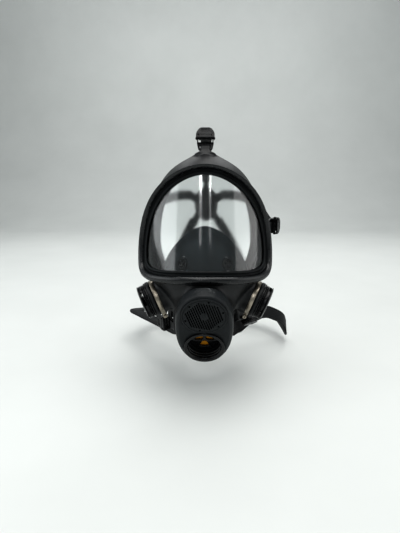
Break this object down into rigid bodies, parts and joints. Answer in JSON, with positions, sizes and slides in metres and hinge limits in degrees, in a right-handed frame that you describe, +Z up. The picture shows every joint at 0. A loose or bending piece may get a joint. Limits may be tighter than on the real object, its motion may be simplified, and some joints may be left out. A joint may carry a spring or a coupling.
{
  "type": "full face respirator",
  "caption": "Full face respirator: panoramic visor in a rubber facepiece, combined speech and threaded inlet unit, side exhalation valves, buckled head harness and neck strap.",
  "frame": {"origin": "middle of the face opening, where the wearer's nose bridge comes", "axes": "+Y out of the back of the mask towards the wearer's head, so the wearer looks along -Y; +Z up; +X to the right of someone who faces the mask"},
  "size_m": [0.2532, 0.2875, 0.3023],
  "materials": {
    "black_rubber": "smooth matt black rubber",
    "soft_rubber": "soft dark rubber",
    "black_plastic": "fine-textured black plastic",
    "gloss_black": "smooth black plastic",
    "clear_visor": "clear polycarbonate with a hard coat",
    "steel": "nickel-plated steel",
    "black_steel": "black coated steel",
    "amber_rubber": "amber silicone rubber",
    "diaphragm_film": "thin polyester film"
  },
  "bodies": {
    "facepiece": {"buckle_base_lower_left": "black_steel", "buckle_base_lower_right": "black_steel", "buckle_base_temple_left": "black_steel", "buckle_base_temple_right": "black_steel", "buckle_base_top": "black_steel", "buckle_pin_lower_left": "black_steel", "buckle_pin_lower_right": "black_steel", "buckle_pin_temple_left": "black_steel", "buckle_pin_temple_right": "black_steel", "buckle_pin_top": "black_steel", "diaphragm_ring": "soft_rubber", "exhale_body_left": "gloss_black", "exhale_body_right": "gloss_black", "exhale_clamp_left": "steel", "exhale_clamp_right": "steel", "exhale_seat_left": "black_plastic", "exhale_seat_right": "black_plastic", "face_seal": "soft_rubber", "facepiece_shell": "black_rubber", "harness_pad": "black_rubber", "inlet_gasket": "soft_rubber", "inlet_thread_ring": "gloss_black", "inlet_valve_seat": "gloss_black", "inner_mask": "soft_rubber", "inner_seat_left": "black_plastic", "inner_seat_right": "black_plastic", "neck_strap": "black_rubber", "neck_strap_stud_left": "black_steel", "neck_strap_stud_right": "black_steel", "speech_diaphragm": "diaphragm_film", "speech_grille": "black_plastic", "strap_lower_left": "black_rubber", "strap_lower_right": "black_rubber", "strap_temple_left": "black_rubber", "strap_temple_right": "black_rubber", "strap_top": "black_rubber", "unit_clamp_band": "black_steel", "unit_housing": "black_plastic", "visor_gasket": "soft_rubber", "visor_lens": "clear_visor", "visor_rim": "black_rubber"},
    "buckle_lever_lower_left": {"buckle_lever_lower_left": "black_steel"},
    "buckle_lever_lower_right": {"buckle_lever_lower_right": "black_steel"},
    "buckle_lever_temple_left": {"buckle_lever_temple_left": "black_steel"},
    "buckle_lever_temple_right": {"buckle_lever_temple_right": "black_steel"},
    "buckle_lever_top": {"buckle_lever_top": "black_steel"},
    "buckle_roller_lower_left": {"buckle_roller_lower_left": "steel"},
    "buckle_roller_lower_right": {"buckle_roller_lower_right": "steel"},
    "buckle_roller_temple_left": {"buckle_roller_temple_left": "steel"},
    "buckle_roller_temple_right": {"buckle_roller_temple_right": "steel"},
    "buckle_roller_top": {"buckle_roller_top": "steel"},
    "exhale_clamp_screw_left": {"exhale_clamp_screw_left": "steel"},
    "exhale_clamp_screw_right": {"exhale_clamp_screw_right": "steel"},
    "exhale_cover_left": {"exhale_cover_left": "gloss_black"},
    "exhale_cover_right": {"exhale_cover_right": "gloss_black"},
    "exhale_disc_left": {"exhale_disc_left": "soft_rubber"},
    "exhale_disc_right": {"exhale_disc_right": "soft_rubber"},
    "inlet_valve_disc": {"inlet_valve_disc": "amber_rubber"},
    "inner_flap_left": {"inner_flap_left": "soft_rubber"},
    "inner_flap_right": {"inner_flap_right": "soft_rubber"}
  },
  "joints": [
    {"name": "buckle_top_lever_hinge", "type": "hinge", "parent": "facepiece", "child": "buckle_lever_top", "pos_m": [0, -0.03409, 0.11239], "axis": [1, 0, 0], "range_deg": [0, 50]},
    {"name": "buckle_top_roller_turn", "type": "hinge", "parent": "facepiece", "child": "buckle_roller_top", "pos_m": [0, -0.02749, 0.11595], "axis": [1, 0, 0], "continuous": true},
    {"name": "buckle_temple_right_lever_hinge", "type": "hinge", "parent": "facepiece", "child": "buckle_lever_temple_right", "pos_m": [0.09054, 0.00602, 0.0075], "axis": [0.0088, 0.0179, -0.9998], "range_deg": [0, 50]},
    {"name": "buckle_temple_right_roller_turn", "type": "hinge", "parent": "facepiece", "child": "buckle_roller_temple_right", "pos_m": [0.08914, 0.01339, 0.00762], "axis": [0.0088, 0.0179, -0.9998], "continuous": true},
    {"name": "buckle_temple_left_lever_hinge", "type": "hinge", "parent": "facepiece", "child": "buckle_lever_temple_left", "pos_m": [-0.08208, 0.0254, 0.0065], "axis": [-0.0018, -0.0198, 0.9998], "range_deg": [0, 50]},
    {"name": "buckle_temple_left_roller_turn", "type": "hinge", "parent": "facepiece", "child": "buckle_roller_temple_left", "pos_m": [-0.07706, 0.03097, 0.00662], "axis": [-0.0018, -0.0198, 0.9998], "continuous": true},
    {"name": "buckle_lower_right_lever_hinge", "type": "hinge", "parent": "facepiece", "child": "buckle_lever_lower_right", "pos_m": [0.05596, -0.01626, -0.11577], "axis": [-0.46, 0.7048, -0.5401], "range_deg": [0, 50]},
    {"name": "buckle_lower_right_roller_turn", "type": "hinge", "parent": "facepiece", "child": "buckle_roller_lower_right", "pos_m": [0.06017, -0.01099, -0.11248], "axis": [-0.46, 0.7048, -0.5401], "continuous": true},
    {"name": "buckle_lower_left_lever_hinge", "type": "hinge", "parent": "facepiece", "child": "buckle_lever_lower_left", "pos_m": [-0.05261, -0.01813, -0.11888], "axis": [-0.0499, -0.2246, 0.9732], "range_deg": [0, 50]},
    {"name": "buckle_lower_left_roller_turn", "type": "hinge", "parent": "facepiece", "child": "buckle_roller_lower_left", "pos_m": [-0.05383, -0.01091, -0.11728], "axis": [-0.0499, -0.2246, 0.9732], "continuous": true},
    {"name": "exhale_cover_right_twist", "type": "hinge", "parent": "facepiece", "child": "exhale_cover_right", "pos_m": [0.0591, -0.045, -0.0754], "axis": [0.9043, -0.2161, -0.3681], "range_deg": [0, 30]},
    {"name": "exhale_disc_right_lift", "type": "slide", "parent": "facepiece", "child": "exhale_disc_right", "axis": [0.9043, -0.2161, -0.3681], "range_m": [0, 0.002], "stiffness_N_per_m": 20, "springref_m": -0.001},
    {"name": "exhale_clamp_screw_right_turn", "type": "hinge", "parent": "facepiece", "child": "exhale_clamp_screw_right", "pos_m": [0.04993, -0.04281, -0.0992], "axis": [0.2324, 0.9726, 0], "continuous": true},
    {"name": "inner_flap_right_lift", "type": "slide", "parent": "facepiece", "child": "inner_flap_right", "axis": [-0.6548, 0.7155, -0.2434], "range_m": [0, 0.001], "stiffness_N_per_m": 20, "springref_m": -0.001},
    {"name": "exhale_cover_left_twist", "type": "hinge", "parent": "facepiece", "child": "exhale_cover_left", "pos_m": [-0.0591, -0.045, -0.0754], "axis": [-0.9043, -0.2161, -0.3681], "range_deg": [0, 30]},
    {"name": "exhale_disc_left_lift", "type": "slide", "parent": "facepiece", "child": "exhale_disc_left", "axis": [-0.9043, -0.2161, -0.3681], "range_m": [0, 0.002], "stiffness_N_per_m": 20, "springref_m": -0.001},
    {"name": "exhale_clamp_screw_left_turn", "type": "hinge", "parent": "facepiece", "child": "exhale_clamp_screw_left", "pos_m": [-0.04993, -0.04281, -0.0992], "axis": [0.2324, -0.9726, 0], "continuous": true},
    {"name": "inner_flap_left_lift", "type": "slide", "parent": "facepiece", "child": "inner_flap_left", "axis": [0.6548, 0.7155, -0.2434], "range_m": [0, 0.001], "stiffness_N_per_m": 20, "springref_m": -0.001},
    {"name": "inlet_disc_lift", "type": "slide", "parent": "facepiece", "child": "inlet_valve_disc", "axis": [0, 0.9063, 0.4226], "range_m": [0, 0.0025], "stiffness_N_per_m": 20, "springref_m": -0.001}
  ]
}
